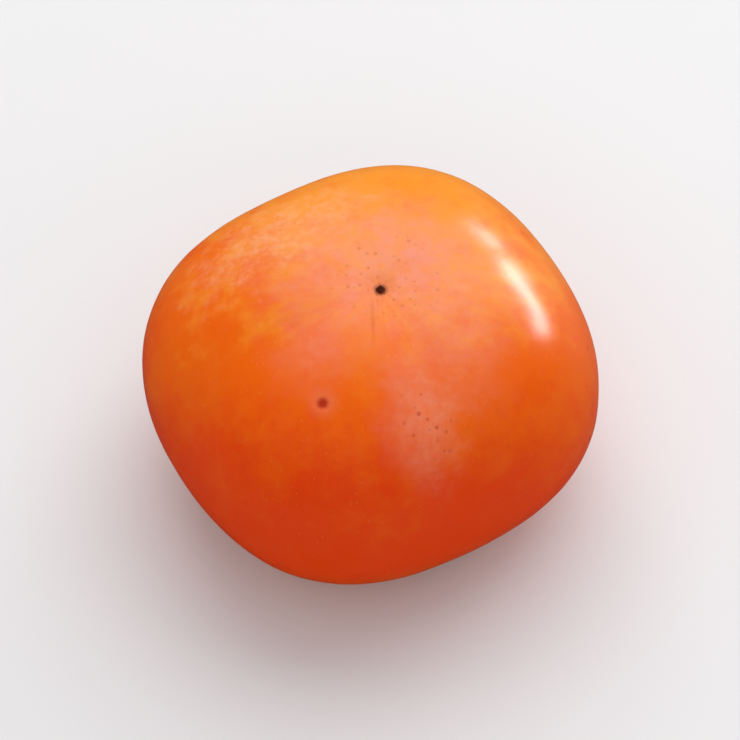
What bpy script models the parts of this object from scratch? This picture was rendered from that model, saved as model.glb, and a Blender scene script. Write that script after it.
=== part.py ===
"""A ripe flat persimmon, as picked, standing on its calyx with its blossom end up.

The fruit is one broad, low body. Its section is a rounded square, its blossom end has a
shallow dip round the dried style, and its stem end has a basin that takes the calyx.
The calyx is one leathery sheet with four lobes, pressed flat where the fruit stands on it,
and the stem is cut off level with it. The style is a small dry point.

Units are metres and +Z is up. The origin is on the surface that the fruit stands on, under
the middle of the fruit's widest section. The style and the stem stand a little to one side
of it, because the fruit leans.
"""

import math

import bmesh
import bpy
from mathutils import Vector

MM = 0.001

# The fruit's section at its widest: a circle, swollen at four corners and a little oval
EQUATOR_RADIUS = 33.3 * MM
EQUATOR_HEIGHT = 21.4 * MM
CORNER_SWELL = 0.0376
CORNER_AZIMUTH = math.radians(72.6)
OVAL_SWELL = 0.026
OVAL_AZIMUTH = math.radians(15.0)
# How far the widest section lies to one side of the style
LEAN = Vector((-1.96, 0.66, 0.0)) * MM

# The fruit's profile: two halves that curve more squarely than an ellipse, whose power is 2
CROWN_HEIGHT = 46.9 * MM
CROWN_POWER = 2.34
BASE_HEIGHT = -0.13 * MM
BASE_POWER = 2.35

# The blossom end: a wide dip, a small seat for the style and four soft furrows
DIP_DEPTH = 0.9 * MM
DIP_RADIUS = 6.5 * MM
SEAT_DEPTH = 0.9 * MM
SEAT_RADIUS = 1.8 * MM
FURROW_DEPTHS = (0.35 * MM, 0.6 * MM, 0.45 * MM, 0.5 * MM)
FURROW_HALF_WIDTH = math.radians(17)
FURROW_SHARE = 0.62
FURROW_REACH = 0.42
# A furrow dies out at the axis, where all the sides meet, and at the widest section
FURROW_START_SHARE = 0.2
FURROW_END_SHARE = 0.9

# The stem end: a basin in the base
BASIN_DEPTH = 4.5 * MM
BASIN_SHARE = 0.24

# The calyx: its lobes point at the fruit's four flat sides
LOBE_AZIMUTH = CORNER_AZIMUTH + math.pi / 4
LOBE_TIP_RADII = (24.2 * MM, 23.0 * MM, 22.2 * MM, 23.6 * MM)
LOBE_NOTCH_RADIUS = 8.4 * MM
# Under 1, this makes the lobes broader and the notches between them narrower
LOBE_TAPER = 0.5
LOBE_POINT = 1.2 * MM
LOBE_POINT_WIDTH = 0.17
# How far each lobe's rim hangs clear of the fruit: 0 hugs it and 1 lies level
LOBE_DROOPS = (0.3, 0.6, 0.1, 0.2)
MOST_DROOP = 0.9
DROOP_START = 13.0 * MM
RIM_WAVE = 0.22
RIM_WAVES_PER_LOBE = 3
CALYX_THICKNESS = 0.9 * MM
PRESSED_DEPTH = 0.2 * MM

# The stem's cut stub, from its cut end up to its flared collar under the calyx
STEM_PROFILE = (
    (2.2 * MM, 0.0),
    (2.45 * MM, 0.25 * MM),
    (2.4 * MM, 0.9 * MM),
    (2.6 * MM, 1.3 * MM),
)
COLLAR_RADIUS = 3.1 * MM

# The dried style. Its profile runs from its point down to its foot, and gives shares of the
# radius and of the length
STYLE_RADIUS = 0.75 * MM
STYLE_LENGTH = 1.2 * MM
STYLE_PROFILE = ((0.0, 1.0), (0.4, 0.85), (0.5, 0.55), (1.0, 0.25), (0.8, 0.0), (0.0, 0.0))

# The gap that separate solids keep between them
GAP = 0.3 * MM

# Mesh densities
FRUIT_SEGMENTS = 72
FRUIT_RINGS = 44
# Over 1, this draws the rings in towards the two ends, where the small shapes are
RING_CROWDING = 1.6
CALYX_SPOKES = 96
CALYX_RINGS = 10
TURNED_STEPS = 24
MERGE_DISTANCE = 1e-6
SLOPE_STEP = 0.01

# Each finish is a colour in linear RGB and a roughness
SKIN_FINISH = ((0.80, 0.16, 0.008), 0.38)
CALYX_FINISH = ((0.22, 0.18, 0.075), 0.75)
STEM_FINISH = ((0.12, 0.07, 0.035), 0.85)
STYLE_FINISH = ((0.03, 0.010, 0.004), 0.9)


def bell(distance, width):
    """1 at distance 0, falling smoothly to nothing past about two widths."""
    return math.exp(-((distance / width) ** 2))


def smooth_rise(value):
    """0 below 0 and 1 above 1, with a smooth rise between them."""
    value = min(max(value, 0.0), 1.0)
    return value * value * (3 - 2 * value)


def turn_between(azimuth, other):
    """The angle from one azimuth to another, from -pi to pi."""
    return (azimuth - other + math.pi) % math.tau - math.pi


def nearest_side(azimuth):
    """Which of the four flat sides an azimuth is on, and the angle from that side's middle."""
    side = round((azimuth - LOBE_AZIMUTH) / (math.pi / 2)) % 4
    return side, turn_between(azimuth, LOBE_AZIMUTH + side * math.pi / 2)


def section_radius(azimuth, share):
    """The section's radius, where share is 0 on the fruit's axis and 1 at its widest."""
    corners = CORNER_SWELL * math.cos(4 * (azimuth - CORNER_AZIMUTH))
    oval = OVAL_SWELL * math.cos(2 * (azimuth - OVAL_AZIMUTH))
    return EQUATOR_RADIUS * share * (1 + share**2 * (corners + oval))


def section_point(azimuth, share, height):
    """A point of the section at that height, measured from the style's axis."""
    radius = section_radius(azimuth, share)
    around = Vector((math.cos(azimuth), math.sin(azimuth), 0.0)) * radius
    return around + LEAN * share**2 + Vector((0.0, 0.0, height))


def style_axis():
    """Where the style's axis stands, so that the widest section is centred on the origin."""
    turns = [math.tau * step / FRUIT_SEGMENTS for step in range(FRUIT_SEGMENTS)]
    points = [section_point(turn, 1.0, 0.0) for turn in turns]
    middle_x = (min(point.x for point in points) + max(point.x for point in points)) / 2
    middle_y = (min(point.y for point in points) + max(point.y for point in points)) / 2
    return Vector((-middle_x, -middle_y, 0.0))


def crown_height(azimuth, share):
    """The height of the fruit's upper skin."""
    radius = EQUATOR_RADIUS * share
    rise = (CROWN_HEIGHT - EQUATOR_HEIGHT) * (1 - share**CROWN_POWER) ** (1 / CROWN_POWER)
    side, from_middle = nearest_side(azimuth)
    furrow = FURROW_DEPTHS[side] * bell(from_middle, FURROW_HALF_WIDTH)
    furrow *= bell(share - FURROW_SHARE, FURROW_REACH)
    furrow *= smooth_rise(share / FURROW_START_SHARE)
    furrow *= smooth_rise((1 - share) / (1 - FURROW_END_SHARE))
    dip = DIP_DEPTH * bell(radius, DIP_RADIUS)
    seat = SEAT_DEPTH * bell(radius, SEAT_RADIUS)
    return EQUATOR_HEIGHT + rise - furrow - dip - seat


def base_height(share):
    """The height of the fruit's lower skin."""
    drop = (EQUATOR_HEIGHT - BASE_HEIGHT) * (1 - share**BASE_POWER) ** (1 / BASE_POWER)
    return EQUATOR_HEIGHT - drop + BASIN_DEPTH * bell(share, BASIN_SHARE)


def lobe_radius(azimuth):
    """How far the calyx reaches from the axis: four broad lobes with notches between them."""
    side, from_middle = nearest_side(azimuth)
    across = min(abs(from_middle) / (math.pi / 4), 1.0)
    blade = max(math.cos(across * math.pi / 2), 0.0) ** LOBE_TAPER
    point = LOBE_POINT * bell(across, LOBE_POINT_WIDTH)
    reach = LOBE_TIP_RADII[side] - LOBE_POINT - LOBE_NOTCH_RADIUS
    return LOBE_NOTCH_RADIUS + reach * blade + point


def base_slope(share):
    """How steeply the fruit's lower skin rises there, as rise over run."""
    rise = base_height(share + SLOPE_STEP) - base_height(max(share - SLOPE_STEP, 0.0))
    return rise / (EQUATOR_RADIUS * (SLOPE_STEP + min(share, SLOPE_STEP)))


def calyx_under(azimuth, share):
    """The height of the calyx's lower face: it hugs the fruit, and is pressed level below it."""
    clearance = (GAP + CALYX_THICKNESS) * math.hypot(1.0, base_slope(share))
    hugging = base_height(share) - clearance
    radius = EQUATOR_RADIUS * share
    side, from_middle = nearest_side(azimuth)
    wave = RIM_WAVE * math.sin(RIM_WAVES_PER_LOBE * 4 * from_middle + side)
    droop = min(max(LOBE_DROOPS[side] + wave, 0.0), MOST_DROOP)
    towards_rim = smooth_rise((radius - DROOP_START) / (max(LOBE_TIP_RADII) - DROOP_START))
    return max(hugging * (1 - droop * towards_rim) - PRESSED_DEPTH, 0.0)


def clear_scene():
    """Removes whatever the open file holds."""
    for old in list(bpy.data.objects):
        bpy.data.objects.remove(old, do_unlink=True)


def new_material(name, colour, roughness):
    """A plain non-metallic surface of one colour."""
    material = bpy.data.materials.new(name)
    material.use_nodes = True
    shader = material.node_tree.nodes["Principled BSDF"]
    shader.inputs["Base Color"].default_value = (*colour, 1.0)
    shader.inputs["Roughness"].default_value = roughness
    shader.inputs["Metallic"].default_value = 0.0
    return material


def add_object(collection, name, mesh, material):
    """Puts a mesh in the scene under that name, shaded smooth, on the style's axis."""
    obj = bpy.data.objects.new(name, mesh)
    obj.location = style_axis()
    mesh.materials.append(material)
    mesh.shade_smooth()
    collection.objects.link(obj)
    return obj


def make_fruit(collection):
    """The whole fruit in its skin: a sphere whose points are moved to the fruit's form."""
    bm = bmesh.new()
    bmesh.ops.create_uvsphere(bm, u_segments=FRUIT_SEGMENTS, v_segments=FRUIT_RINGS, radius=1)
    for vert in bm.verts:
        azimuth = math.atan2(vert.co.y, vert.co.x)
        share = min(math.hypot(vert.co.x, vert.co.y), 1.0) ** RING_CROWDING
        height = crown_height(azimuth, share) if vert.co.z > 0 else base_height(share)
        vert.co = section_point(azimuth, share, height)
    mesh = bpy.data.meshes.new("fruit")
    bm.to_mesh(mesh)
    bm.free()
    return add_object(collection, "fruit", mesh, new_material("skin", *SKIN_FINISH))


def make_calyx(collection):
    """The four-lobed calyx: a flat disc drawn out to the lobes' outline, then thickened."""
    bm = bmesh.new()
    spoke = [bm.verts.new((ring / CALYX_RINGS, 0, 0)) for ring in range(CALYX_RINGS + 1)]
    edges = [bm.edges.new(pair) for pair in zip(spoke, spoke[1:])]
    bmesh.ops.spin(
        bm,
        geom=spoke + edges,
        cent=(0, 0, 0),
        axis=(0, 0, 1),
        angle=math.tau,
        steps=CALYX_SPOKES,
        use_merge=True,
    )
    bmesh.ops.remove_doubles(bm, verts=bm.verts, dist=MERGE_DISTANCE)
    bmesh.ops.recalc_face_normals(bm, faces=bm.faces)
    for vert in bm.verts:
        # The first spoke is turned to the middle of a lobe
        azimuth = math.atan2(vert.co.y, vert.co.x) + LOBE_AZIMUTH
        share = vert.co.length * lobe_radius(azimuth) / EQUATOR_RADIUS
        vert.co = section_point(azimuth, share, calyx_under(azimuth, share))
    bm.normal_update()
    if sum(face.normal.z for face in bm.faces) > 0:
        bmesh.ops.reverse_faces(bm, faces=bm.faces)
    # Split before it is thickened, so that both faces are split alike
    bmesh.ops.triangulate(bm, faces=bm.faces)
    mesh = bpy.data.meshes.new("calyx")
    bm.to_mesh(mesh)
    bm.free()
    calyx = add_object(collection, "calyx", mesh, new_material("calyx leaf", *CALYX_FINISH))
    thickness = calyx.modifiers.new("Thickness", "SOLIDIFY")
    thickness.thickness = CALYX_THICKNESS
    # The faces look down, so -1 thickens the sheet upwards and leaves its lower face alone
    thickness.offset = -1
    return calyx


def make_turned(collection, name, profile, material):
    """A round solid: a profile of (radius, height) points, top to bottom, turned round Z."""
    mesh = bpy.data.meshes.new(name)
    points = [(radius, 0.0, height) for radius, height in profile]
    mesh.from_pydata(points, [(i, i + 1) for i in range(len(points) - 1)], [])
    obj = add_object(collection, name, mesh, material)
    turn = obj.modifiers.new("Turn", "SCREW")
    turn.steps = TURNED_STEPS
    turn.render_steps = TURNED_STEPS
    turn.use_merge_vertices = True
    turn.merge_threshold = MERGE_DISTANCE
    return obj


def make_stem(collection):
    """The stub of the fruit's stalk, cut off level with the calyx."""
    collar = [COLLAR_RADIUS * part for part in (0.0, 0.5, 1.0)]
    profile = [(r, calyx_under(0.0, r / EQUATOR_RADIUS) - GAP) for r in collar]
    profile += list(reversed(STEM_PROFILE))
    profile.append((0.0, 0.0))
    return make_turned(collection, "stem", profile, new_material("bark", *STEM_FINISH))


def make_style(collection):
    """The dry point left by the flower, standing in its seat at the blossom end."""
    foot = crown_height(0.0, 0.0) + GAP
    profile = [(r * STYLE_RADIUS, foot + h * STYLE_LENGTH) for r, h in STYLE_PROFILE]
    return make_turned(collection, "style", profile, new_material("style", *STYLE_FINISH))


def main():
    clear_scene()
    persimmon = bpy.data.collections.new("persimmon")
    bpy.context.scene.collection.children.link(persimmon)
    make_fruit(persimmon)
    make_calyx(persimmon)
    make_stem(persimmon)
    make_style(persimmon)


main()
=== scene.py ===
"""The finish of a ripe flat persimmon: waxy skin, dry calyx, cut stem and dried style.

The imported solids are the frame. Each piece here stands for one of them, at the same size and
in the same place, with a finer surface and a material of its own. Lengths in the settings are
metres, and the shape functions work in metres too. Materials work in millimetres.
"""

import math

import bmesh
import bpy
from bpy.props import FloatProperty, FloatVectorProperty, IntProperty, PointerProperty
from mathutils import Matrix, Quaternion, Vector, noise
from mathutils.bvhtree import BVHTree


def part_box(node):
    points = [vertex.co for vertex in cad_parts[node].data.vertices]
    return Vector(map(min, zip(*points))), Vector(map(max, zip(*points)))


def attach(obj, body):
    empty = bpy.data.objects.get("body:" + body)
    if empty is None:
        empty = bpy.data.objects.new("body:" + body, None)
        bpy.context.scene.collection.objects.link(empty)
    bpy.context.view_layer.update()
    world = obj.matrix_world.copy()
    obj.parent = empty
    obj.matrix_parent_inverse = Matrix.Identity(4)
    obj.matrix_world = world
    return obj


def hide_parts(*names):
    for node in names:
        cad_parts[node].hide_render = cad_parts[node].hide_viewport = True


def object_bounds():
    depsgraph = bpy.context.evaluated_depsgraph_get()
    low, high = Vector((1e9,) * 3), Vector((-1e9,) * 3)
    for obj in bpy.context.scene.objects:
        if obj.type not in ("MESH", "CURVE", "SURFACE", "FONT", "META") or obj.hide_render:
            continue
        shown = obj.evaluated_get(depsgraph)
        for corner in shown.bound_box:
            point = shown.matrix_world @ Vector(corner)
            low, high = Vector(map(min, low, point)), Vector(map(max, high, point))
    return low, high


bl_info = {
    "name": "Persimmon",
    "version": (1, 0, 0),
    "blender": (4, 5, 0),
    "location": "3D View > Sidebar > Persimmon",
    "description": "Dresses the packed persimmon with its skin, calyx, stem and dried style",
    "category": "Object",
}

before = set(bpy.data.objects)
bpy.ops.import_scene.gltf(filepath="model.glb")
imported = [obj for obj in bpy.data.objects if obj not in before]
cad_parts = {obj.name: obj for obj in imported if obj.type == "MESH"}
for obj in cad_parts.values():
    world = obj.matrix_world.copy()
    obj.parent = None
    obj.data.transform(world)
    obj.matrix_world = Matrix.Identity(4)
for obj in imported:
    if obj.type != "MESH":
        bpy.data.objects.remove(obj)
CAD_LOW, CAD_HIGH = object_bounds()

MM = 0.001

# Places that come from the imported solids
FRUIT_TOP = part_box("fruit")[1].z
STYLE_LOW, STYLE_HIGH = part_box("style")
STYLE_AXIS = Vector(((STYLE_LOW.x + STYLE_HIGH.x) / 2, (STYLE_LOW.y + STYLE_HIGH.y) / 2, 0.0))

# The fruit's section at its widest, as on the solid
EQUATOR_RADIUS = 33.3 * MM
EQUATOR_HEIGHT = 21.4 * MM
CORNER_SWELL = 0.0376
CORNER_AZIMUTH = math.radians(72.6)
OVAL_SWELL = 0.026
OVAL_AZIMUTH = math.radians(15.0)
LEAN = Vector((-1.96, 0.66, 0.0)) * MM

# The fruit's profile, blossom end and stem end, as on the solid
CROWN_HEIGHT = 46.9 * MM
CROWN_POWER = 2.34
BASE_HEIGHT = -0.13 * MM
BASE_POWER = 2.35
DIP_DEPTH = 0.9 * MM
DIP_RADIUS = 6.5 * MM
SEAT_DEPTH = 0.9 * MM
SEAT_RADIUS = 1.8 * MM
FURROW_DEPTHS = (0.35 * MM, 0.6 * MM, 0.45 * MM, 0.5 * MM)
FURROW_HALF_WIDTH = math.radians(17)
FURROW_SHARE = 0.62
FURROW_REACH = 0.42
FURROW_START_SHARE = 0.2
FURROW_END_SHARE = 0.9
BASIN_DEPTH = 4.5 * MM
BASIN_SHARE = 0.24
RING_CROWDING = 1.6

# The calyx's outline and fall, as on the solid
LOBE_AZIMUTH = CORNER_AZIMUTH + math.pi / 4
LOBE_TIP_RADII = (24.2 * MM, 23.0 * MM, 22.2 * MM, 23.6 * MM)
LOBE_NOTCH_RADIUS = 8.4 * MM
LOBE_TAPER = 0.5
LOBE_POINT = 1.2 * MM
LOBE_POINT_WIDTH = 0.17
LOBE_DROOPS = (0.3, 0.6, 0.1, 0.2)
MOST_DROOP = 0.9
DROOP_START = 13.0 * MM
RIM_WAVE = 0.22
RIM_WAVES_PER_LOBE = 3
CALYX_THICKNESS = 0.9 * MM
PRESSED_DEPTH = 0.2 * MM
GAP = 0.3 * MM
SLOPE_STEP = 0.01

# The stem's stub, as on the solid
STEM_PROFILE = (
    (2.2 * MM, 0.0),
    (2.45 * MM, 0.25 * MM),
    (2.4 * MM, 0.9 * MM),
    (2.6 * MM, 1.3 * MM),
)
COLLAR_RADIUS = 3.1 * MM

# The photograph's viewing angle
CAMERA_ELEVATION = math.radians(55.8)
CAMERA_ROLL = math.radians(-1.86)
CAMERA_DISTANCE = 1.59
SENSOR_WIDTH = 36.0

# Each light's width and height, its direction's azimuth and elevation in degrees, its distance
LIGHTS = {
    "key": (1.1, 0.8, 74, 58, 0.9),
    "fill": (0.9, 0.6, 275, 46, 1.2),
    "strip": (0.50, 0.105, 40.2, 17, 0.8),
}
STRIP_COLOUR = (0.90, 0.96, 1.0)

# Where the skin's marks are, as offsets from the style's axis in millimetres
MARKS = {
    "halo": (1.5, 3.0),
    "seat": (0.0, 0.0),
    "wedge": (-1.6, -7.0),
    "line": (-1.3, -6.0),
    "left_rose": (-9.0, -10.0),
    "right_rose": (10.5, -9.0),
    "front_rose": (5.0, -19.0),
    "back_rose": (5.0, 6.0),
    "frost_and_glints": (-15.0, 12.5),
    "specks": (7.0, -21.5),
    "bruise": (-9.2, -18.4),
}

# How pale the skin is at its foot, how much paler it gets for each millimetre up, back and to the
# right, and where its three colours change into each other. The paling up is partly the skin's own
# colour and partly painted light on the crown. The paling back and to the right is painted light
# from the side the lamps stand on, and the deep colour low on the sides is partly painted shade
PALER_FOOT = 0.035
PALER_UP = 0.0165
PAINTED_LIGHT_BACK = 0.011
PAINTED_LIGHT_RIGHT = 0.0015
DEEP_TO_MAIN = (0.25, 0.72)
MAIN_TO_PALE = (0.70, 1.07)

# The unevenness of the flesh, and the creases that run out from the style
LUMP_SIZE = 15 * MM
RIPPLE_SIZE = 4.5 * MM
RIPPLE_SHARE = 0.25
EVEN_RADIUS = 5 * MM
SEAT_RISE_RADIUS = 1.2 * MM
CREASES = 11
CREASE_WANDER = 4.8
CREASE_WANDER_SIZE = 6 * MM
CREASE_START = 1.2 * MM
CREASE_REACH = 5.5 * MM
BRUISE_RADIUS = 0.9 * MM

# The calyx's veins and its thin dry rim, in shares of a lobe's half width and of its reach
MIDRIB_WIDTH = 0.035
MIDRIB_START = 0.3
VEIN_SPREAD = 1.25
VEIN_CURVE = 0.45
VEIN_COUNT = 7
VEIN_WIDTH = 0.16
VEIN_SHARE = 0.6
VEIN_START = 0.35
DRY_RIM_START = 0.62
THIN_RIM_START = 0.55

# The stem's bark and its cut end
BARK_RADIUS = 1.9 * MM
BARK_BLEND = 0.5 * MM
GROOVE_SIZE = 0.9 * MM
GROOVE_STRETCH = 3
CUT_HEIGHT = 0.1 * MM
CUT_HOLLOW = 0.18 * MM
CUT_RADIUS = 1.3 * MM

# The dried style's outline, in shares of its foot's radius and of its length
STYLE_OUTLINE = (
    (0.0, 1.0), (0.16, 0.99), (0.36, 0.90), (0.42, 0.72), (0.48, 0.52),
    (0.78, 0.34), (1.0, 0.22), (0.95, 0.08), (0.78, 0.0), (0.0, 0.0),
)
CLEFT_AT_FOOT = 0.4
RAGGED_SHARE = 0.12
RAGGED_SIZE = 0.35 * MM
TIP_START = 0.8
TIP_SIZE = 0.3 * MM

MERGE_DISTANCE = 1e-6

# What the small lengths and the colours among the settings have in common
FINE = {"unit": "LENGTH", "precision": 5}
COLOUR = {"subtype": "COLOR", "size": 3, "min": 0.0, "max": 1.0}


def bell(distance, width):
    """1 at distance 0, falling smoothly to nothing past about two widths."""
    return math.exp(-((distance / width) ** 2))


def smooth_rise(value):
    """0 below 0 and 1 above 1, with a smooth rise between them."""
    value = min(max(value, 0.0), 1.0)
    return value * value * (3 - 2 * value)


def turn_between(azimuth, other):
    """The angle from one azimuth to another, from -pi to pi."""
    return (azimuth - other + math.pi) % math.tau - math.pi


def nearest_side(azimuth):
    """Which of the four flat sides an azimuth is on, and the angle from that side's middle."""
    side = round((azimuth - LOBE_AZIMUTH) / (math.pi / 2)) % 4
    return side, turn_between(azimuth, LOBE_AZIMUTH + side * math.pi / 2)


def section_point(azimuth, share, height):
    """A point of the fruit's section, where share is 0 on the style's axis and 1 at its widest."""
    corners = CORNER_SWELL * math.cos(4 * (azimuth - CORNER_AZIMUTH))
    oval = OVAL_SWELL * math.cos(2 * (azimuth - OVAL_AZIMUTH))
    radius = EQUATOR_RADIUS * share * (1 + share**2 * (corners + oval))
    around = Vector((math.cos(azimuth), math.sin(azimuth), 0.0)) * radius
    return STYLE_AXIS + around + LEAN * share**2 + Vector((0.0, 0.0, height))


def crown_height(azimuth, share):
    """The height of the fruit's upper skin."""
    radius = EQUATOR_RADIUS * share
    rise = (CROWN_HEIGHT - EQUATOR_HEIGHT) * (1 - share**CROWN_POWER) ** (1 / CROWN_POWER)
    side, from_middle = nearest_side(azimuth)
    furrow = FURROW_DEPTHS[side] * bell(from_middle, FURROW_HALF_WIDTH)
    furrow *= bell(share - FURROW_SHARE, FURROW_REACH)
    furrow *= smooth_rise(share / FURROW_START_SHARE)
    furrow *= smooth_rise((1 - share) / (1 - FURROW_END_SHARE))
    dip = DIP_DEPTH * bell(radius, DIP_RADIUS)
    seat = SEAT_DEPTH * bell(radius, SEAT_RADIUS)
    return EQUATOR_HEIGHT + rise - furrow - dip - seat


def base_height(share):
    """The height of the fruit's lower skin."""
    drop = (EQUATOR_HEIGHT - BASE_HEIGHT) * (1 - share**BASE_POWER) ** (1 / BASE_POWER)
    return EQUATOR_HEIGHT - drop + BASIN_DEPTH * bell(share, BASIN_SHARE)


def lobe_radius(azimuth):
    """How far the calyx reaches from the axis: four broad lobes with notches between them."""
    side, from_middle = nearest_side(azimuth)
    across = min(abs(from_middle) / (math.pi / 4), 1.0)
    blade = max(math.cos(across * math.pi / 2), 0.0) ** LOBE_TAPER
    point = LOBE_POINT * bell(across, LOBE_POINT_WIDTH)
    reach = LOBE_TIP_RADII[side] - LOBE_POINT - LOBE_NOTCH_RADIUS
    return LOBE_NOTCH_RADIUS + reach * blade + point


def base_slope(share):
    """How steeply the fruit's lower skin rises there, as rise over run."""
    rise = base_height(share + SLOPE_STEP) - base_height(max(share - SLOPE_STEP, 0.0))
    return rise / (EQUATOR_RADIUS * (SLOPE_STEP + min(share, SLOPE_STEP)))


def calyx_under(azimuth, share):
    """The height of the calyx's lower face: it hugs the fruit, and is pressed level below it."""
    clearance = (GAP + CALYX_THICKNESS) * math.hypot(1.0, base_slope(share))
    hugging = base_height(share) - clearance
    radius = EQUATOR_RADIUS * share
    side, from_middle = nearest_side(azimuth)
    wave = RIM_WAVE * math.sin(RIM_WAVES_PER_LOBE * 4 * from_middle + side)
    droop = min(max(LOBE_DROOPS[side] + wave, 0.0), MOST_DROOP)
    towards_rim = smooth_rise((radius - DROOP_START) / (max(LOBE_TIP_RADII) - DROOP_START))
    return max(hugging * (1 - droop * towards_rim) - PRESSED_DEPTH, 0.0)


def grain(point, size, seed):
    """Smooth noise from -1 to 1 with bumps about that size apart; each seed gives its own."""
    return noise.noise(point / size + Vector((seed, 0.0, 0.0)))


def unevenness(point, size, seed):
    """Smooth noise as grain gives it, but from 0 to 1."""
    return 0.5 + 0.5 * grain(point, size, seed)


class Palette:
    """Adds nodes to one shader tree, and wires values or other nodes' outputs into them."""

    def __init__(self, tree):
        self.tree = tree

    def node(self, kind, inputs=None, **settings):
        made = self.tree.nodes.new(kind)
        for name, value in settings.items():
            setattr(made, name, value)
        for socket, value in (inputs or {}).items():
            if isinstance(value, bpy.types.NodeSocket):
                self.tree.links.new(value, made.inputs[socket])
            else:
                made.inputs[socket].default_value = value
        return made

    def maths(self, operation, first, second=0.0, clamp=False):
        made = self.node("ShaderNodeMath", {0: first, 1: second}, operation=operation)
        made.use_clamp = clamp
        return made.outputs[0]

    def vectors(self, operation, first, second=(0.0, 0.0, 0.0)):
        """Vector maths, which gives a number for LENGTH and else a vector."""
        made = self.node("ShaderNodeVectorMath", {0: first, 1: second}, operation=operation)
        return made.outputs["Value" if operation == "LENGTH" else "Vector"]

    def product(self, *factors):
        result = factors[0]
        for factor in factors[1:]:
            result = self.maths("MULTIPLY", result, factor)
        return result

    def total(self, *terms):
        result = terms[0]
        for term in terms[1:]:
            result = self.maths("ADD", result, term)
        return result

    def swing(self, value, width):
        """A value from 0 to 1, changed to one that swings that wide about 0."""
        return self.product(self.maths("SUBTRACT", value, 0.5), width)

    def ramp(self, value, low, high, to_low=0.0, to_high=1.0, smooth=True):
        """value taken from low..high to to_low..to_high, and held there past both ends."""
        made = self.node(
            "ShaderNodeMapRange",
            {"Value": value, "From Min": low, "From Max": high, "To Min": to_low, "To Max": to_high},
            interpolation_type="SMOOTHSTEP" if smooth else "LINEAR",
        )
        return made.outputs["Result"]

    def mix(self, factor, first, second):
        """Two colours mixed, where factor 1 is all of the second."""
        made = self.node("ShaderNodeMix", {"Factor": factor}, data_type="RGBA")
        for socket, colour in ((6, first), (7, second)):
            if isinstance(colour, bpy.types.NodeSocket):
                self.tree.links.new(colour, made.inputs[socket])
            else:
                made.inputs[socket].default_value = (*tuple(colour)[:3], 1.0)
        return made.outputs[2]

    def place(self):
        """The point being shaded, in millimetres."""
        coordinates = self.node("ShaderNodeTexCoord")
        scaled = self.node(
            "ShaderNodeVectorMath",
            {0: coordinates.outputs["Object"], "Scale": 1 / MM},
            operation="SCALE",
        )
        return scaled.outputs[0]

    def group(self, shared, **inputs):
        """A shared node group, with its inputs given by name."""
        made = self.node("ShaderNodeGroup", node_tree=shared)
        for name, value in inputs.items():
            socket = made.inputs[name.replace("_", " ").capitalize()]
            if isinstance(value, bpy.types.NodeSocket):
                self.tree.links.new(value, socket)
            else:
                socket.default_value = value
        return made.outputs[0]


def new_group(name, inputs, output):
    """An empty shader node group: its palette, its inputs' sockets and its output node."""
    tree = bpy.data.node_groups.new(name, "ShaderNodeTree")
    for label, default in inputs.items():
        kind = "NodeSocketVector" if isinstance(default, tuple) else "NodeSocketFloat"
        socket = tree.interface.new_socket(label, in_out="INPUT", socket_type=kind)
        socket.default_value = default
    tree.interface.new_socket(output, in_out="OUTPUT", socket_type="NodeSocketFloat")
    palette = Palette(tree)
    return palette, palette.node("NodeGroupInput").outputs, palette.node("NodeGroupOutput")


def patch_group():
    """A soft ragged-edged oval patch: 1 inside it and 0 outside."""
    name = "Soft patch"
    if name in bpy.data.node_groups:
        return bpy.data.node_groups[name]
    palette, given, result = new_group(
        name,
        {
            "Place": (0.0, 0.0, 0.0),
            "Centre": (0.0, 0.0, 0.0),
            "Radii": (1.0, 1.0, 1.0),
            "Turn": (0.0, 0.0, 0.0),
            "Softness": 0.5,
            "Raggedness": 0.0,
            "Ragged size": 3.0,
        },
        "Mask",
    )
    local = palette.node(
        "ShaderNodeMapping",
        {
            "Vector": given["Place"],
            "Location": given["Centre"],
            "Rotation": given["Turn"],
            "Scale": given["Radii"],
        },
        vector_type="TEXTURE",
    )
    length = palette.vectors("LENGTH", local.outputs[0])
    fineness = palette.maths("DIVIDE", 1.0, given["Ragged size"])
    edge = palette.node(
        "ShaderNodeTexNoise", {"Vector": given["Place"], "Scale": fineness, "Detail": 3.0}
    )
    shift = palette.swing(edge.outputs["Fac"], given["Raggedness"])
    reach = palette.total(length, shift)
    inner = palette.maths("SUBTRACT", 1.0, given["Softness"])
    outer = palette.total(1.0, given["Softness"])
    mask = palette.ramp(reach, inner, outer, 1.0, 0.0)
    palette.tree.links.new(mask, result.inputs[0])
    return palette.tree


def speckle_group():
    """Scattered round dots: 1 in a dot and 0 between them."""
    name = "Speckle"
    if name in bpy.data.node_groups:
        return bpy.data.node_groups[name]
    palette, given, result = new_group(
        name, {"Place": (0.0, 0.0, 0.0), "Spacing": 1.0, "Radius": 0.2, "Share": 0.5}, "Mask"
    )
    dots = palette.node(
        "ShaderNodeTexVoronoi",
        {
            "Vector": given["Place"],
            "Scale": palette.maths("DIVIDE", 1.0, given["Spacing"]),
            "Randomness": 1.0,
        },
    )
    reach = palette.product(dots.outputs["Distance"], given["Spacing"])
    chance = palette.node("ShaderNodeSeparateColor", {0: dots.outputs["Color"]})
    # Each cell has its own size of dot, and only some cells have one
    size = palette.product(given["Radius"], palette.ramp(chance.outputs[1], 0.0, 1.0, 0.6, 1.4))
    dot = palette.ramp(palette.maths("DIVIDE", reach, size), 0.3, 1.0, 1.0, 0.0)
    kept = palette.maths("LESS_THAN", chance.outputs[0], given["Share"])
    palette.tree.links.new(palette.product(dot, kept), result.inputs[0])
    return palette.tree


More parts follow.
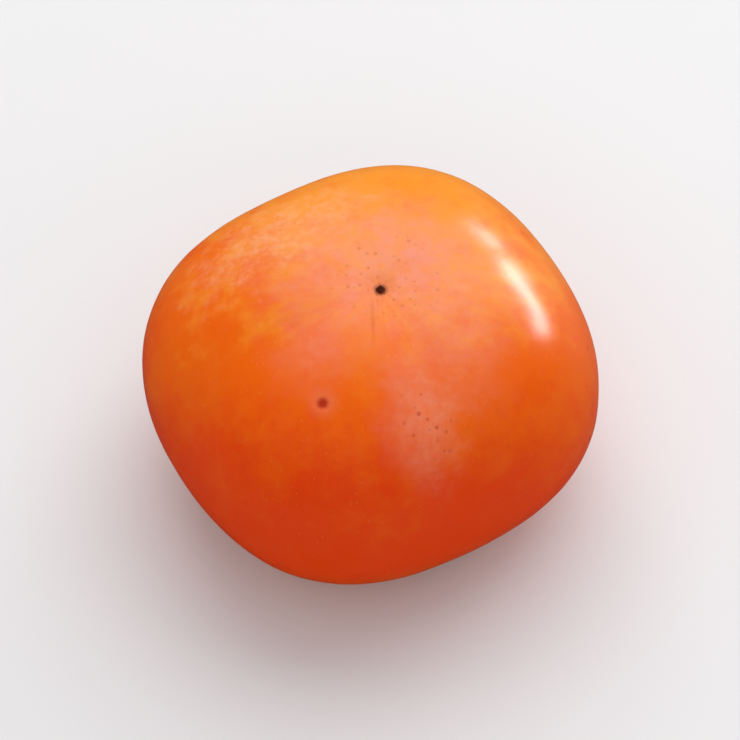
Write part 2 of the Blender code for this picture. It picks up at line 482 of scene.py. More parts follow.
def mottle_group():
    """Cloudy patches: 0 to 1 over the surface, with steeper edges by contrast."""
    name = "Mottle"
    if name in bpy.data.node_groups:
        return bpy.data.node_groups[name]
    palette, given, result = new_group(
        name, {"Place": (0.0, 0.0, 0.0), "Spacing": 10.0, "Detail": 3.0, "Contrast": 1.0}, "Value"
    )
    clouds = palette.node(
        "ShaderNodeTexNoise",
        {
            "Vector": given["Place"],
            "Scale": palette.maths("DIVIDE", 1.0, given["Spacing"]),
            "Detail": given["Detail"],
            "Roughness": 0.55,
        },
    )
    steep = palette.product(palette.swing(clouds.outputs["Fac"], given["Contrast"]), 2.0)
    value = palette.maths("ADD", steep, 0.5, clamp=True)
    palette.tree.links.new(value, result.inputs[0])
    return palette.tree


def new_material(name):
    """A material with its Principled shader and its palette."""
    material = bpy.data.materials.new(name)
    material.use_nodes = True
    shader = material.node_tree.nodes["Principled BSDF"]
    return material, shader, Palette(material.node_tree)


def wire(palette, shader, colour, roughness, height, bump_depth):
    """Connects a finish to its shader; height is 0 to 1 and bump_depth is in metres."""
    palette.tree.links.new(colour, shader.inputs["Base Color"])
    palette.tree.links.new(roughness, shader.inputs["Roughness"])
    bump = palette.node("ShaderNodeBump", {"Height": height, "Distance": bump_depth})
    palette.tree.links.new(bump.outputs["Normal"], shader.inputs["Normal"])


def radial_streaks(palette, place, centre):
    """Uneven streaks, 0 to 1, that run out from that centre and widen on their way."""
    away = palette.vectors("SUBTRACT", place, centre)
    level = palette.vectors("MULTIPLY", away, (1.0, 1.0, 0.0))
    heading = palette.vectors("NORMALIZE", level)
    distance = palette.vectors("LENGTH", level)
    drawn_out = palette.node("ShaderNodeCombineXYZ", {2: palette.product(distance, 0.015)})
    along = palette.vectors("ADD", heading, drawn_out.outputs[0])
    return palette.group(mottle_group(), place=along, spacing=0.14, detail=3.0, contrast=1.5)


def skin_colour(palette, place, look, marks):
    """The flesh's colour, with painted light on its crown and painted shade low on its sides, and
    the masks of its paler wedge, its fine line and its flecks.
    """
    along_x, along_y, height = palette.node("ShaderNodeSeparateXYZ", {0: place}).outputs
    clouds = palette.group(mottle_group(), place=place, spacing=16.0, detail=2.0, contrast=1.1)
    patchy = palette.group(mottle_group(), place=place, spacing=5.0, detail=3.0, contrast=1.4)
    flecks = palette.group(mottle_group(), place=place, spacing=2.0, detail=4.0, contrast=1.2)
    streaks = radial_streaks(palette, place, marks["seat"])
    # Paler up, back and to the right: partly the skin's own colour, partly painted light where the
    # lamps fall and painted shade low on the sides
    climb = palette.total(
        palette.product(height, PALER_UP),
        palette.product(along_y, PAINTED_LIGHT_BACK),
        palette.product(along_x, PAINTED_LIGHT_RIGHT),
        palette.product(clouds, 0.22),
        palette.swing(patchy, 0.13),
        palette.swing(flecks, 0.10),
        palette.swing(streaks, 0.07),
        PALER_FOOT,
    )
    lower = palette.ramp(climb, *DEEP_TO_MAIN)
    upper = palette.ramp(climb, *MAIN_TO_PALE)
    colour = palette.mix(lower, look.deep_colour, look.main_colour)
    colour = palette.mix(upper, colour, look.pale_colour)

    # The calyx shades the shoulder beneath it, so the skin there stays yellower
    uneven_height = palette.total(height, palette.product(clouds, 8.0))
    shaded = palette.ramp(uneven_height, 3.0, 22.0, 1.0, 0.0)
    colour = palette.mix(palette.product(shaded, 0.5), colour, look.shaded_colour)

    # A paler wedge runs from the style down the front, with a fine line in its middle
    patches = patch_group()
    wedge = palette.group(
        patches, place=place, centre=marks["wedge"], radii=(3.2, 8.5, 7.0),
        turn=(0.0, 0.0, math.radians(-12)), softness=0.9, raggedness=1.6, ragged_size=3.0,
    )
    line = palette.group(
        patches, place=place, centre=marks["line"], radii=(0.30, 3.2, 4.0),
        softness=0.8, raggedness=0.9, ragged_size=0.8,
    )
    return colour, wedge, line, flecks


def skin_bloom_and_sheen(palette, place, marks):
    """Where the skin is pink under a thin wax, and where that wax is dusty with bloom. On the crown
    both are partly painted sheen and glints from the key light.
    """
    patches = patch_group()
    rosy_and_sheen = 0.0
    # The pink patches on the crown are partly the skin's own colour and partly painted sheen from
    # the key light
    # Each patch has its centre, radii, turn in degrees and strength
    for centre, radii, turn, strength in (
        ("halo", (13.5, 11.0, 10.0), 0, 0.78),
        ("left_rose", (6.5, 5.0, 6.0), 20, 0.36),
        ("right_rose", (7.0, 8.5, 8.0), 15, 0.42),
        ("front_rose", (4.6, 9.5, 8.0), 14, 0.45),
        ("back_rose", (9.0, 5.5, 6.0), -20, 0.85),
    ):
        patch = palette.group(
            patches, place=place, centre=marks[centre], radii=radii,
            turn=(0.0, 0.0, math.radians(turn)), softness=0.9, raggedness=1.3, ragged_size=4.0,
        )
        rosy_and_sheen = palette.maths("MAXIMUM", rosy_and_sheen, palette.product(patch, strength))
    brush = palette.group(mottle_group(), place=place, spacing=1.8, detail=4.0, contrast=1.5)
    rosy_and_sheen = palette.product(rosy_and_sheen, palette.ramp(brush, 0.0, 1.0, 0.60, 1.20, smooth=False))
    powder = palette.group(mottle_group(), place=place, spacing=1.4, detail=2.0, contrast=1.6)
    dabs = palette.group(speckle_group(), place=place, spacing=1.3, radius=0.75, share=0.6)
    thin = palette.group(mottle_group(), place=place, spacing=9.0, detail=3.0, contrast=2.2)
    # The pale patch on the back-left shoulder is partly a dusting of bloom and partly painted glints
    # where the key light falls
    frost_and_glints = palette.group(
        patches, place=place, centre=marks["frost_and_glints"], radii=(13.0, 6.0, 8.0),
        turn=(0.0, 0.0, math.radians(28)), softness=0.8, raggedness=1.9, ragged_size=2.4,
    )
    front_powder = palette.group(
        patches, place=place, centre=marks["specks"], radii=(4.0, 9.0, 8.0),
        turn=(0.0, 0.0, math.radians(14)), softness=0.8, raggedness=1.6, ragged_size=2.0,
    )
    # Bloom mask: partly real bloom, partly painted sheen and glints
    powder_and_sheen = palette.total(
        palette.product(frost_and_glints, 0.60), palette.product(front_powder, 0.19),
        palette.product(thin, 0.025),
    )
    dabbed = palette.total(
        palette.ramp(powder, 0.25, 0.95, 0.32, 0.75), palette.product(dabs, 0.25)
    )
    powder_and_sheen = palette.product(powder_and_sheen, dabbed)
    return rosy_and_sheen, powder_and_sheen


def skin_material(look, marks):
    """Waxy persimmon skin, with its bloom, pores, pinpricks and one old bruise, and with painted
    light, shade and sheen in its colour.
    """
    material, shader, palette = new_material("Waxy skin")
    place = palette.place()
    colour, wedge, line, flecks = skin_colour(palette, place, look, marks)
    rosy_and_sheen, powder_and_sheen = skin_bloom_and_sheen(palette, place, marks)
    rosy_and_sheen = palette.product(rosy_and_sheen, palette.ramp(wedge, 0.0, 1.0, 1.0, 0.55))
    colour = palette.mix(palette.product(wedge, 0.30), colour, look.pale_colour)
    # Pink patches and bloom: partly the skin's own colour, partly painted sheen on the crown
    colour = palette.mix(palette.product(rosy_and_sheen, look.bloom), colour, look.rosy_colour)
    colour = palette.mix(palette.product(line, 0.22), colour, look.speck_colour)
    colour = palette.mix(palette.product(powder_and_sheen, look.bloom), colour, look.bloom_colour)

    # Faint pale pores all over, and darker pinpricks near the style and low on the front
    patches = patch_group()
    speckle = speckle_group()
    pores = palette.group(speckle, place=place, spacing=0.9, radius=0.17, share=0.6)
    colour = palette.mix(palette.product(pores, 0.12), colour, look.bloom_colour)
    pinpricks = palette.group(speckle, place=place, spacing=1.15, radius=0.36, share=0.6)
    speck_area = palette.group(
        patches, place=place, centre=marks["specks"], radii=(4.5, 8.0, 6.0),
        softness=0.4, raggedness=0.5,
    )
    tip_area = palette.group(
        patches, place=place, centre=marks["halo"], radii=(9.0, 8.0, 6.0), softness=0.4,
    )
    prick_mask = palette.product(
        pinpricks, palette.maths("MAXIMUM", speck_area, palette.product(tip_area, 0.55))
    )
    colour = palette.mix(palette.product(prick_mask, 0.5), colour, look.speck_colour)

    # One old bruise: a red-brown dot in a soft rosy ring
    bruise_ring = palette.group(
        patches, place=place, centre=marks["bruise"], radii=(1.8, 1.8, 1.8), softness=0.8,
    )
    colour = palette.mix(palette.product(bruise_ring, 0.22), colour, look.rosy_colour)
    bruise = palette.group(
        patches, place=place, centre=marks["bruise"], radii=(0.85, 0.8, 0.85),
        softness=0.55, raggedness=0.4, ragged_size=0.8,
    )
    colour = palette.mix(palette.product(bruise, 0.9), colour, look.bruise_colour)

    # The seat of the style is brown and dry
    seat = palette.group(
        patches, place=place, centre=marks["seat"], radii=(0.95, 0.95, 1.6),
        softness=0.5, raggedness=0.5, ragged_size=0.7,
    )
    colour = palette.mix(palette.product(seat, 0.85), colour, look.seat_colour)

    roughness = palette.total(
        look.roughness,
        palette.product(powder_and_sheen, 0.2),
        palette.product(rosy_and_sheen, 0.06),
        palette.swing(flecks, 0.08),
        palette.product(seat, 0.3),
    )
    fine_grain = palette.node(
        "ShaderNodeTexNoise", {"Vector": place, "Scale": 1 / 0.45, "Detail": 3.0, "Roughness": 0.6}
    ).outputs["Fac"]
    relief = palette.total(
        palette.product(flecks, 0.35),
        palette.product(fine_grain, 0.22),
        palette.product(pores, 0.04),
        palette.product(prick_mask, -0.08),
        palette.product(bruise, -0.6),
    )
    wire(palette, shader, colour, roughness, relief, 0.06 * MM)
    # The skin is nearly matt, and a thin coat of wax gives it its gloss
    for socket, value in (
        ("IOR", 1.45),
        ("Specular IOR Level", look.sheen),
        ("Specular Tint", (1.0, 0.80, 0.60, 1.0)),
        ("Subsurface Weight", look.translucency),
        ("Subsurface Radius", (1.0, 0.28, 0.06)),
        ("Subsurface Scale", 2.0 * MM),
        ("Coat Weight", look.gloss),
        ("Coat Roughness", 0.23),
        ("Coat IOR", 1.8),
    ):
        shader.inputs[socket].default_value = value
    return material


def leaf_material(look):
    """Dry leathery calyx: olive in the middle, brown at its rims, with paler veins."""
    material, shader, palette = new_material("Dry calyx")
    place = palette.place()
    veins = palette.node("ShaderNodeAttribute", attribute_name="vein").outputs["Fac"]
    rim = palette.node("ShaderNodeAttribute", attribute_name="rim").outputs["Fac"]
    clouds = palette.group(mottle_group(), place=place, spacing=5.0, detail=4.0, contrast=1.5)
    fibres = palette.group(mottle_group(), place=place, spacing=0.7, detail=4.0, contrast=1.5)
    dryness = palette.total(
        palette.product(rim, 0.75), palette.product(clouds, 0.5), palette.product(fibres, 0.15)
    )
    colour = palette.mix(palette.ramp(dryness, 0.25, 1.0), look.green_colour, look.brown_colour)
    colour = palette.mix(palette.ramp(dryness, 0.95, 1.3), colour, look.rim_colour)
    colour = palette.mix(palette.product(veins, 0.55), colour, look.vein_colour)
    flecks = palette.group(speckle_group(), place=place, spacing=1.4, radius=0.25, share=0.35)
    colour = palette.mix(palette.product(flecks, 0.45), colour, look.rim_colour)
    roughness = palette.total(0.62, palette.product(fibres, 0.2))
    relief = palette.total(palette.product(fibres, 0.6), palette.product(clouds, 0.4))
    wire(palette, shader, colour, roughness, relief, 0.12 * MM)
    return material


def bark_material(look):
    """The stub's brown bark, and the pale ringed wood of its cut end."""
    material, shader, palette = new_material("Bark and cut wood")
    place = palette.place()
    height = palette.node("ShaderNodeSeparateXYZ", {0: place}).outputs[2]
    stretched = palette.vectors("MULTIPLY", place, (1.0, 1.0, 0.35))
    streaks = palette.group(mottle_group(), place=stretched, spacing=0.5, detail=4.0, contrast=1.6)
    bark = palette.mix(streaks, look.bark_colour, look.ridge_colour)
    rings = palette.node(
        "ShaderNodeTexWave",
        {"Vector": place, "Scale": 1.1, "Distortion": 1.2, "Detail": 2.0},
        wave_type="RINGS",
        rings_direction="Z",
    ).outputs["Fac"]
    wood = palette.mix(rings, look.wood_colour, look.ring_colour)
    cut = palette.ramp(height, 0.12, 0.22, 1.0, 0.0)
    colour = palette.mix(cut, bark, wood)
    roughness = palette.total(0.78, palette.product(streaks, 0.15))
    wire(palette, shader, colour, roughness, streaks, 0.15 * MM)
    return material


def style_material(look):
    """The dried style: almost black, with browner fibres."""
    material, shader, palette = new_material("Dried style")
    place = palette.place()
    fibres = palette.group(mottle_group(), place=place, spacing=0.25, detail=4.0, contrast=1.8)
    colour = palette.mix(fibres, look.style_colour, look.style_tip_colour)
    roughness = palette.total(0.75, palette.product(fibres, 0.2))
    wire(palette, shader, colour, roughness, fibres, 0.06 * MM)
    shader.inputs["Specular IOR Level"].default_value = 0.1
    return material


def floor_material(look):
    """A plain pale matt floor, a little uneven in its sheen, that shows little in the gloss."""
    material, shader, palette = new_material("Pale floor")
    place = palette.place()
    clouds = palette.group(mottle_group(), place=place, spacing=60.0, detail=3.0, contrast=0.6)
    shade = tuple(part * 0.985 for part in look.floor_colour)
    colour = palette.mix(clouds, look.floor_colour, shade)
    dim = tuple(part * 0.08 for part in look.floor_colour)
    mirrored = palette.node("ShaderNodeLightPath").outputs["Is Glossy Ray"]
    colour = palette.mix(mirrored, colour, dim)
    roughness = palette.total(0.6, palette.product(clouds, 0.06))
    wire(palette, shader, colour, roughness, clouds, 0.01 * MM)
    return material


def place_piece(name, bm, material, node):
    """Turns a bmesh into the finished piece that stands for that CAD node."""
    mesh = bpy.data.meshes.new(name)
    bm.to_mesh(mesh)
    bm.free()
    mesh.materials.append(material)
    mesh.shade_smooth()
    piece = bpy.data.objects.new(name, mesh)
    bpy.context.scene.collection.objects.link(piece)
    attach(piece, "root")
    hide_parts(node)
    return piece


def turned(points, steps, cuts=0):
    """A bmesh made by turning a line of points once round the upright axis."""
    bm = bmesh.new()
    line = [bm.verts.new(point) for point in points]
    edges = [bm.edges.new(pair) for pair in zip(line, line[1:])]
    if cuts:
        bmesh.ops.subdivide_edges(bm, edges=edges, cuts=cuts)
    bmesh.ops.spin(
        bm, geom=bm.verts[:] + bm.edges[:], cent=(0, 0, 0), axis=(0, 0, 1),
        angle=math.tau, steps=steps, use_merge=True,
    )
    bmesh.ops.remove_doubles(bm, verts=bm.verts, dist=MERGE_DISTANCE)
    bmesh.ops.recalc_face_normals(bm, faces=bm.faces)
    return bm


def subdivided(piece, levels):
    """Rounds a piece with a Subdivision Surface modifier."""
    modifier = piece.modifiers.new("Round", "SUBSURF")
    modifier.levels = levels
    modifier.render_levels = levels
    return piece


def skin_point(tree, offset_x, offset_y):
    """The point of the upper skin at that offset from the style's axis, in millimetres."""
    start = STYLE_AXIS + Vector((offset_x, offset_y, 0.0)) * MM
    start.z = FRUIT_TOP + EQUATOR_RADIUS
    hit = tree.ray_cast(start, Vector((0.0, 0.0, -1.0)))[0]
    if hit is None:
        raise RuntimeError(f"no skin under {offset_x}, {offset_y}")
    return hit / MM


class FruitSettings(bpy.types.PropertyGroup):
    """The fruit's finish."""

    segments: IntProperty(
        name="Segments", description="Faces round the fruit", default=256, min=32, max=512
    )
    rings: IntProperty(
        name="Rings", description="Faces from end to end", default=176, min=24, max=320
    )
    lump_depth: FloatProperty(
        name="Lump depth", description="How deep the soft hollows in the flesh are",
        default=0.35 * MM, **FINE,
    )
    crease_depth: FloatProperty(
        name="Crease depth", description="How deep the fine creases are that run out from the style",
        default=0.04 * MM, **FINE,
    )
    seat_rise: FloatProperty(
        name="Seat rise", description="How far the skin rises to meet the style's foot",
        default=0.27 * MM, **FINE,
    )
    bruise_depth: FloatProperty(
        name="Bruise depth", description="How far the bruise is sunk", default=0.22 * MM, **FINE
    )
    roughness: FloatProperty(
        name="Roughness", description="Roughness of clean skin", default=0.31, subtype="FACTOR"
    )
    sheen: FloatProperty(
        name="Sheen", description="Strength of the broad sheen", default=0.045, subtype="FACTOR"
    )
    gloss: FloatProperty(
        name="Gloss", description="Strength of the waxy gloss", default=0.12, subtype="FACTOR"
    )
    # The bloom's strength also scales the painted sheen on the crown
    bloom: FloatProperty(
        name="Bloom", description="Strength of the pale bloom", default=0.85, subtype="FACTOR"
    )
    translucency: FloatProperty(
        name="Translucency", description="Share of light that scatters in the flesh",
        default=0.08, subtype="FACTOR",
    )
    # The deep colour is partly painted shade low on the sides, and the pale colour partly painted
    # light on the crown
    deep_colour: FloatVectorProperty(
        name="Deep", description="Skin low on the sides", default=(0.81, 0.050, 0.0001), **COLOUR
    )
    main_colour: FloatVectorProperty(
        name="Main", description="Skin half-way up", default=(0.86, 0.120, 0.0008), **COLOUR
    )
    pale_colour: FloatVectorProperty(
        name="Pale", description="Skin on the crown", default=(0.90, 0.285, 0.020), **COLOUR
    )
    shaded_colour: FloatVectorProperty(
        name="Shaded", description="Skin next to the calyx", default=(0.80, 0.24, 0.014), **COLOUR
    )
    rosy_colour: FloatVectorProperty(
        name="Rosy", description="Halo round the style", default=(0.85, 0.280, 0.195), **COLOUR
    )
    bloom_colour: FloatVectorProperty(
        name="Bloom colour", description="Waxy bloom", default=(0.90, 0.44, 0.25), **COLOUR
    )
    speck_colour: FloatVectorProperty(
        name="Specks", description="Dark pinpricks", default=(0.42, 0.030, 0.002), **COLOUR
    )
    bruise_colour: FloatVectorProperty(
        name="Bruise", description="The old bruise", default=(0.42, 0.014, 0.001), **COLOUR
    )
    seat_colour: FloatVectorProperty(
        name="Seat", description="The dry seat of the style",
        default=(0.16, 0.018, 0.004), **COLOUR,
    )


class CalyxSettings(bpy.types.PropertyGroup):
    """The calyx's finish."""

    spokes: IntProperty(
        name="Spokes", description="Faces round the calyx", default=192, min=48, max=384
    )
    rings: IntProperty(
        name="Rings", description="Faces from the middle to the rim", default=16, min=6, max=40
    )
    vein_height: FloatProperty(
        name="Vein height", description="How far the veins stand out", default=0.10 * MM, **FINE
    )
    rim_thickness: FloatProperty(
        name="Rim thickness", description="The rim's thickness, as a share of the middle's",
        default=0.5, subtype="FACTOR",
    )
    green_colour: FloatVectorProperty(
        name="Green", description="The leaf near its middle", default=(0.24, 0.23, 0.085), **COLOUR
    )
    brown_colour: FloatVectorProperty(
        name="Brown", description="The leaf where it has dried",
        default=(0.26, 0.16, 0.070), **COLOUR,
    )
    rim_colour: FloatVectorProperty(
        name="Rim", description="The leaf's dry rim", default=(0.12, 0.068, 0.034), **COLOUR
    )
    vein_colour: FloatVectorProperty(
        name="Veins", description="The leaf's veins", default=(0.42, 0.35, 0.17), **COLOUR
    )


class StemSettings(bpy.types.PropertyGroup):
    """The stem's finish."""

    steps: IntProperty(
        name="Steps", description="Faces round the stem", default=64, min=16, max=128
    )
    ridge_depth: FloatProperty(
        name="Ridge depth", description="How deep the bark's grooves are",
        default=0.12 * MM, **FINE,
    )
    bark_colour: FloatVectorProperty(
        name="Bark", description="The bark's grooves", default=(0.055, 0.032, 0.018), **COLOUR
    )
    ridge_colour: FloatVectorProperty(
        name="Ridges", description="The bark's ridges", default=(0.19, 0.125, 0.070), **COLOUR
    )
    wood_colour: FloatVectorProperty(
        name="Wood", description="The cut end", default=(0.42, 0.29, 0.15), **COLOUR
    )
    ring_colour: FloatVectorProperty(
        name="Wood rings", description="Darker rings in the cut end",
        default=(0.26, 0.16, 0.075), **COLOUR,
    )


class StyleSettings(bpy.types.PropertyGroup):
    """The dried style's finish."""

    steps: IntProperty(
        name="Steps", description="Faces round the style", default=48, min=16, max=128
    )
    cleft: FloatProperty(
        name="Cleft", description="How deep the style is split into four, as a share of its radius",
        default=0.35, subtype="FACTOR",
    )
    style_colour: FloatVectorProperty(
        name="Style", description="The style's clefts", default=(0.042, 0.008, 0.002), **COLOUR
    )
    style_tip_colour: FloatVectorProperty(
        name="Tip", description="The style's fibres", default=(0.150, 0.034, 0.008), **COLOUR
    )


class StageSettings(bpy.types.PropertyGroup):
    """The floor, lights and camera."""

    floor_size: FloatProperty(
        name="Floor", description="Width of the floor", default=6.0, unit="LENGTH"
    )
    picture_share: FloatProperty(
        name="Picture share", description="Width of the fruit, as a share of the picture's",
        default=0.62, subtype="FACTOR",
    )
    key_power: FloatProperty(
        name="Key", description="Power of the large light behind the fruit",
        default=5.3, unit="POWER",
    )
    strip_power: FloatProperty(
        name="Strip", description="Power of the low light at the right", default=11.5, unit="POWER"
    )
    fill_power: FloatProperty(
        name="Fill light", description="Power of the soft light from the front",
        default=0.65, unit="POWER",
    )
    sky: FloatProperty(
        name="Surroundings", description="Brightness of the pale surroundings", default=0.66
    )
    floor_colour: FloatVectorProperty(
        name="Floor colour", description="The plain floor", default=(0.78, 0.78, 0.79), **COLOUR
    )


def fruit_relief(point, azimuth, share, upper, settings, bruise):
    """How far the skin is sunk below the solid's smooth form, in metres."""
    lumps = unevenness(point, LUMP_SIZE, 3.1)
    ripples = unevenness(point, RIPPLE_SIZE, 8.7)
    sunk = settings.lump_depth * ((1 - RIPPLE_SHARE) * lumps + RIPPLE_SHARE * ripples)
    radius = EQUATOR_RADIUS * share
    if upper:
        # The skin closes round the style's foot
        sunk *= smooth_rise(radius / EVEN_RADIUS)
        sunk -= settings.seat_rise * bell(radius, SEAT_RISE_RADIUS)
        # Fine creases run out from the style and die out on the crown
        wander = CREASE_WANDER * grain(point, CREASE_WANDER_SIZE, 5.3)
        ray = 0.5 + 0.5 * math.cos(CREASES * azimuth + wander)
        reach = smooth_rise(radius / CREASE_START) * bell(radius, CREASE_REACH)
        sunk += settings.crease_depth * ray**3 * reach
        sunk += settings.bruise_depth * bell((point - bruise).length, BRUISE_RADIUS)
    return sunk


class PERSIMMON_OT_fruit(bpy.types.Operator):
    """Makes the fruit's skin over the solid fruit"""

    bl_idname = "persimmon.fruit"
    bl_label = "Fruit"

    def execute(self, context):
        settings = context.scene.persimmon_fruit
        tree = BVHTree.FromObject(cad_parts["fruit"], context.evaluated_depsgraph_get())
        marks = {name: skin_point(tree, *offset) for name, offset in MARKS.items()}
        bm = bmesh.new()
        bmesh.ops.create_uvsphere(
            bm, u_segments=settings.segments, v_segments=settings.rings, radius=1
        )
        for vert in bm.verts:
            azimuth = math.atan2(vert.co.y, vert.co.x)
            share = min(math.hypot(vert.co.x, vert.co.y), 1.0) ** RING_CROWDING
            upper = vert.co.z > 0
            height = crown_height(azimuth, share) if upper else base_height(share)
            vert.co = section_point(azimuth, share, height)
        bm.normal_update()
        bruise = marks["bruise"] * MM
        sunk = []
        for vert in bm.verts:
            away = vert.co - STYLE_AXIS
            azimuth = math.atan2(away.y, away.x)
            share = min(math.hypot(away.x, away.y) / EQUATOR_RADIUS, 1.0)
            upper = vert.co.z > EQUATOR_HEIGHT
            sunk.append(fruit_relief(vert.co, azimuth, share, upper, settings, bruise))
        for vert, depth in zip(bm.verts, sunk):
            vert.co -= vert.normal * depth
        place_piece("skin", bm, skin_material(settings, marks), "fruit")
        return {"FINISHED"}


def vein_strength(side_angle, radius):
    """How strong a vein is at that angle from the lobe's middle: 1 on a vein's line."""
    across = side_angle / (math.pi / 4)
    outward = radius / max(LOBE_TIP_RADII)
    midrib = bell(across, MIDRIB_WIDTH / max(outward, MIDRIB_START))
    # The side veins leave the midrib's foot and curve outwards
    fan = abs(across) * (VEIN_SPREAD - VEIN_CURVE * outward) * VEIN_COUNT
    nearest = abs(fan - round(fan))
    side_veins = bell(nearest, VEIN_WIDTH) * VEIN_SHARE * smooth_rise(outward / VEIN_START)
    return max(midrib, side_veins)


class PERSIMMON_OT_calyx(bpy.types.Operator):
    """Makes the dry four-lobed calyx under the fruit"""

    bl_idname = "persimmon.calyx"
    bl_label = "Calyx"

    def execute(self, context):
        settings = context.scene.persimmon_calyx
        rings = settings.rings
        bm = turned([(ring / rings, 0, 0) for ring in range(rings + 1)], settings.spokes)
        vein_layer = bm.verts.layers.float.new("vein")
        rim_layer = bm.verts.layers.float.new("rim")
        weights = bm.verts.layers.deform.verify()
        for vert in bm.verts:
            azimuth = math.atan2(vert.co.y, vert.co.x) + LOBE_AZIMUTH
            outward = vert.co.length
            radius = outward * lobe_radius(azimuth)
            share = radius / EQUATOR_RADIUS
            side_angle = nearest_side(azimuth)[1]
            vein = vein_strength(side_angle, radius)
            under = calyx_under(azimuth, share)
            # The veins stand out below, where the leaf is off the floor
            under = max(under - settings.vein_height * vein, 0.0)
            vert.co = section_point(azimuth, share, under)
            vert[vein_layer] = vein
            vert[rim_layer] = smooth_rise((outward - DRY_RIM_START) / (1 - DRY_RIM_START))
            thinned = smooth_rise((outward - THIN_RIM_START) / (1 - THIN_RIM_START))
            vert[weights][0] = 1 - (1 - settings.rim_thickness) * thinned
        bm.normal_update()
        if sum(face.normal.z for face in bm.faces) > 0:
            bmesh.ops.reverse_faces(bm, faces=bm.faces)
        material = leaf_material(settings)
        piece = place_piece("calyx_leaf", bm, material, "calyx")
        piece.vertex_groups.new(name="thickness")
        thickness = piece.modifiers.new("Thickness", "SOLIDIFY")
        thickness.thickness = CALYX_THICKNESS
        # The faces look down, so -1 thickens the leaf upwards
        thickness.offset = -1
        thickness.vertex_group = "thickness"
        subdivided(piece, 1)
        return {"FINISHED"}


class PERSIMMON_OT_stem(bpy.types.Operator):
    """Makes the cut stub of the stem under the calyx"""

    bl_idname = "persimmon.stem"
    bl_label = "Stem"

    def execute(self, context):
        settings = context.scene.persimmon_stem
        collar = [COLLAR_RADIUS * part for part in (0.0, 0.5, 1.0)]
        profile = [(r, calyx_under(0.0, r / EQUATOR_RADIUS) - GAP) for r in collar]
        profile += reversed(STEM_PROFILE)
        profile.append((0.0, 0.0))
        bm = turned([(radius, 0, height) for radius, height in profile], settings.steps, cuts=3)
        for vert in bm.verts:
            radius = math.hypot(vert.co.x, vert.co.y)
            on_side = smooth_rise((radius - BARK_RADIUS) / BARK_BLEND)
            along = Vector((vert.co.x, vert.co.y, vert.co.z / GROOVE_STRETCH))
            groove = unevenness(along, GROOVE_SIZE, 2.2)
            squeeze = 1 - settings.ridge_depth * groove * on_side / max(radius, MM)
            vert.co.x *= squeeze
            vert.co.y *= squeeze
            # The cutter left the middle of the end a little hollow
            if vert.co.z < CUT_HEIGHT:
                hollow = CUT_HOLLOW * unevenness(vert.co, CUT_RADIUS, 6.1)
                vert.co.z += hollow * bell(radius, CUT_RADIUS)
        bmesh.ops.translate(bm, verts=bm.verts, vec=STYLE_AXIS)
        place_piece("stem_stub", bm, bark_material(settings), "stem")
        return {"FINISHED"}


class PERSIMMON_OT_style(bpy.types.Operator):
    """Makes the dried style in its seat at the blossom end"""

    bl_idname = "persimmon.style"
    bl_label = "Style"

    def execute(self, context):
        settings = context.scene.persimmon_style
        foot, point = STYLE_LOW.z, STYLE_HIGH.z
        length = point - foot
        foot_radius = (STYLE_HIGH.x - STYLE_LOW.x) / 2
        outline = [(foot_radius * r, 0, foot + length * h) for r, h in STYLE_OUTLINE]
        bm = turned(outline, settings.steps)
        for vert in bm.verts:
            azimuth = math.atan2(vert.co.y, vert.co.x)
            up = (vert.co.z - foot) / length
            split = settings.cleft * (0.5 - 0.5 * math.cos(4 * azimuth))
            split *= CLEFT_AT_FOOT + (1 - CLEFT_AT_FOOT) * up
            ragged = RAGGED_SHARE * unevenness(vert.co, RAGGED_SIZE, 1.9)
            vert.co.x *= 1 - split - ragged
            vert.co.y *= 1 - split - ragged
            if up > TIP_START:
                vert.co.z -= RAGGED_SHARE * length * unevenness(vert.co, TIP_SIZE, 4.4)
        bmesh.ops.translate(bm, verts=bm.verts, vec=STYLE_AXIS)
        piece = place_piece("style_stub", bm, style_material(settings), "style")
        subdivided(piece, 1)
        return {"FINISHED"}


def area_light(name, power):
    """One of the panels that face the fruit; azimuth 0 is at the right."""
    width, height, azimuth, elevation, distance = LIGHTS[name]
    azimuth = math.radians(azimuth)
    elevation = math.radians(elevation)
    light = bpy.data.lights.new(name, "AREA")
    light.shape = "RECTANGLE"
    light.energy = power
    light.size = width
    light.size_y = height
    level = math.cos(elevation)
    away = Vector((math.cos(azimuth) * level, math.sin(azimuth) * level, math.sin(elevation)))
    lamp = bpy.data.objects.new(name, light)
    lamp.location = away * distance
    lamp.rotation_mode = "QUATERNION"
    lamp.rotation_quaternion = away.to_track_quat("Z", "Y")
    bpy.context.scene.collection.objects.link(lamp)
    return lamp


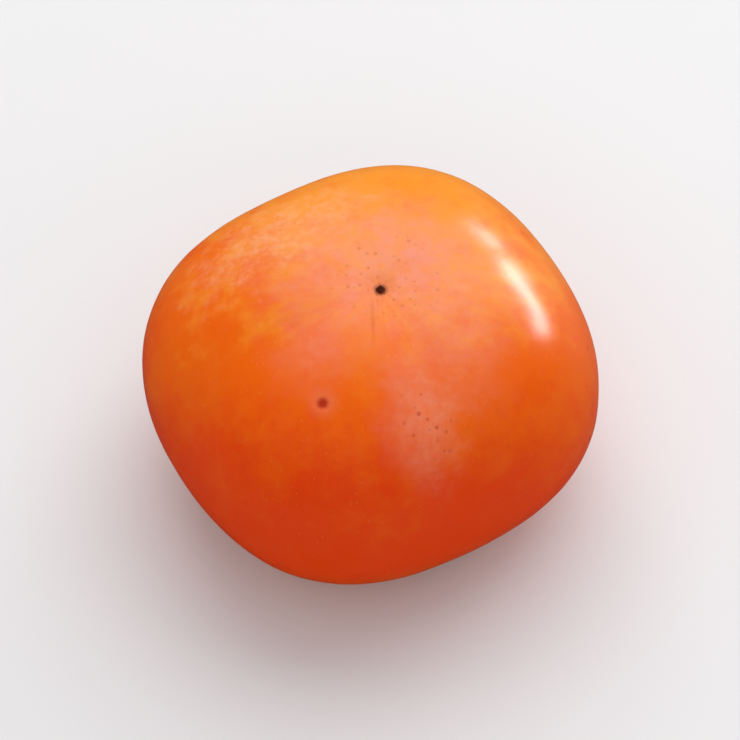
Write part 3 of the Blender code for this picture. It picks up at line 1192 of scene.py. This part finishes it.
class PERSIMMON_OT_stage(bpy.types.Operator):
    """Makes the pale floor, the soft lights and the camera at the photograph's angle"""

    bl_idname = "persimmon.stage"
    bl_label = "Stage"

    def execute(self, context):
        settings = context.scene.persimmon_stage
        self.make_floor(settings)
        self.make_lights(settings)
        self.make_camera(settings)
        context.scene.view_settings.view_transform = "Standard"
        return {"FINISHED"}

    def make_floor(self, settings):
        bm = bmesh.new()
        bmesh.ops.create_grid(bm, x_segments=4, y_segments=4, size=settings.floor_size / 2)
        mesh = bpy.data.meshes.new("floor")
        bm.to_mesh(mesh)
        bm.free()
        mesh.materials.append(floor_material(settings))
        floor = bpy.data.objects.new("floor", mesh)
        bpy.context.scene.collection.objects.link(floor)

    def make_lights(self, settings):
        world = bpy.data.worlds.new("Pale surroundings")
        world.use_nodes = True
        background = world.node_tree.nodes["Background"]
        background.inputs["Color"].default_value = (1.0, 1.0, 1.0, 1.0)
        background.inputs["Strength"].default_value = settings.sky
        bpy.context.scene.world = world
        # The surroundings and the fill light the fruit evenly, and don't show in its gloss
        world.cycles_visibility.glossy = False
        area_light("key", settings.key_power)
        fill = area_light("fill", settings.fill_power)
        fill.visible_glossy = False
        # This one lights nothing and shows only in gloss. It is the streak on the shoulder, and
        # from the front-left corner it glares on the crown and the floor
        strip = area_light("strip", settings.strip_power)
        strip.visible_diffuse = False
        strip.data.color = STRIP_COLOUR

    def make_camera(self, settings):
        middle = (CAD_LOW + CAD_HIGH) / 2
        back = Vector((0.0, -math.cos(CAMERA_ELEVATION), math.sin(CAMERA_ELEVATION)))
        data = bpy.data.cameras.new("camera")
        data.sensor_width = SENSOR_WIDTH
        shown = (CAD_HIGH.x - CAD_LOW.x) / settings.picture_share
        data.lens = SENSOR_WIDTH * CAMERA_DISTANCE / shown
        data.clip_start = 0.05
        data.clip_end = 20.0
        camera = bpy.data.objects.new("camera", data)
        camera.location = middle + back * CAMERA_DISTANCE
        camera.rotation_mode = "QUATERNION"
        facing = (-back).to_track_quat("-Z", "Y")
        camera.rotation_quaternion = facing @ Quaternion((0.0, 0.0, 1.0), CAMERA_ROLL)
        bpy.context.scene.collection.objects.link(camera)
        bpy.context.scene.camera = camera


class PERSIMMON_PT_looks(bpy.types.Panel):
    """Lists the settings and the steps that make the persimmon"""

    bl_label = "Persimmon"
    bl_idname = "PERSIMMON_PT_looks"
    bl_space_type = "VIEW_3D"
    bl_region_type = "UI"
    bl_category = "Persimmon"

    def draw(self, context):
        for attribute, (_, operator) in STEPS.items():
            box = self.layout.box()
            settings = getattr(context.scene, attribute)
            for name in settings.bl_rna.properties.keys():
                if name not in ("rna_type", "name"):
                    box.prop(settings, name)
            box.operator(operator.bl_idname)


# The settings of each step as they hang on the scene, with its operator
STEPS = {
    "persimmon_fruit": (FruitSettings, PERSIMMON_OT_fruit),
    "persimmon_calyx": (CalyxSettings, PERSIMMON_OT_calyx),
    "persimmon_stem": (StemSettings, PERSIMMON_OT_stem),
    "persimmon_style": (StyleSettings, PERSIMMON_OT_style),
    "persimmon_stage": (StageSettings, PERSIMMON_OT_stage),
}
CLASSES = [cls for pair in STEPS.values() for cls in pair] + [PERSIMMON_PT_looks]


def register():
    for cls in CLASSES:
        bpy.utils.register_class(cls)
    for attribute, (settings, _) in STEPS.items():
        setattr(bpy.types.Scene, attribute, PointerProperty(type=settings))


def unregister():
    for attribute in STEPS:
        delattr(bpy.types.Scene, attribute)
    for cls in reversed(CLASSES):
        bpy.utils.unregister_class(cls)


def main():
    register()
    bpy.ops.persimmon.fruit()
    bpy.ops.persimmon.calyx()
    bpy.ops.persimmon.stem()
    bpy.ops.persimmon.style()
    bpy.ops.persimmon.stage()


if __name__ == "__main__":
    main()
